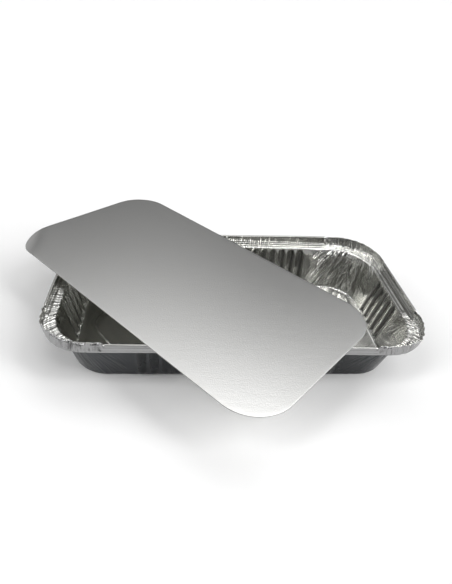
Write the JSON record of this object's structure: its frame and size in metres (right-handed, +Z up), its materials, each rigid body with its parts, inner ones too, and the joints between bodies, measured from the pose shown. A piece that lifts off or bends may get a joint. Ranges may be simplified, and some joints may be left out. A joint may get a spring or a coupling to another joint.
{
  "type": "foil food container",
  "caption": "Rectangular pressed foil food tray with fluted walls, a ledge, an upright hemmed rim and crinkled corners, with its flat board lid lying askew on top.",
  "frame": {"origin": "middle of the tray's base, on the surface it stands on", "axes": "+Z up, +X along the tray's long side, +Y towards the long side that lies away from the viewer"},
  "size_m": [0.3606, 0.3134, 0.0525],
  "materials": {
    "foil": "bright rolled foil, creased",
    "lid_face": "satin foil laminated to thin board"
  },
  "bodies": {
    "root": {"tray": "foil", "lid": "lid_face"}
  },
  "joints": []
}
